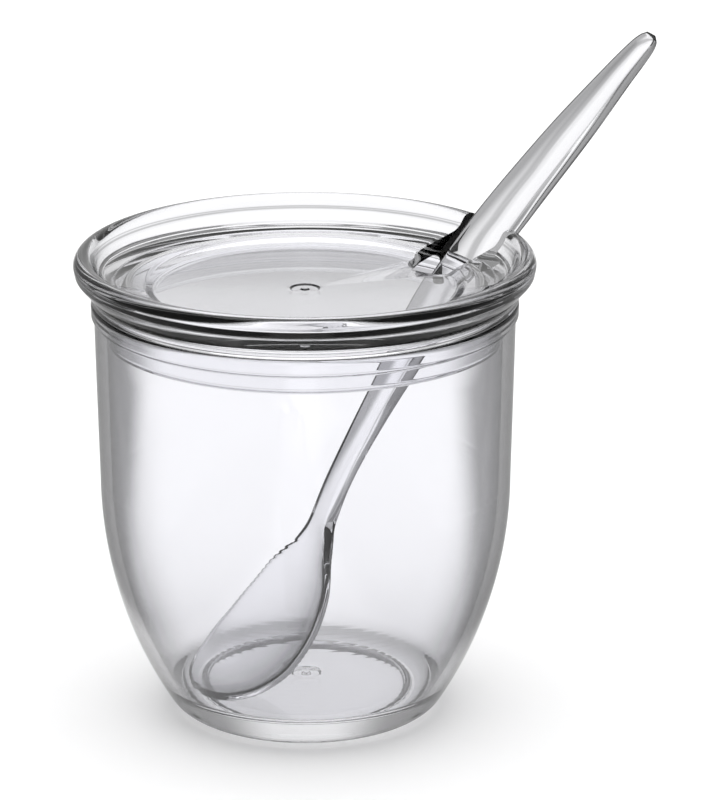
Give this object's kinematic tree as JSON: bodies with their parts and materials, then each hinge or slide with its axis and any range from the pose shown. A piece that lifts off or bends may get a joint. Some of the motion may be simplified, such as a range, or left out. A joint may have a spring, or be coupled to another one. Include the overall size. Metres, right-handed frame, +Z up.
{
  "type": "condiment jar",
  "caption": "Round clear plastic condiment jar with a dished drop-in lid, and a matching spoon that stands in the lid's notch.",
  "frame": {"origin": "middle of the footprint's box on the table, with the spoon's handle counted in it; the jar's own axis is 13.6 mm from it towards -X", "axes": "+Z up along the jar's axis, the picture looks along +Y, and the spoon's handle leans out towards +X, 31 degrees round towards +Y"},
  "size_m": [0.1252, 0.098, 0.1383],
  "materials": {
    "clear_jar": "clear polished plastic, colourless",
    "clear_lid": "clear polished plastic, colourless",
    "clear_spoon": "clear polished plastic, colourless"
  },
  "bodies": {
    "root": {"jar": "clear_jar", "lid": "clear_lid", "spoon": "clear_spoon"}
  },
  "joints": []
}
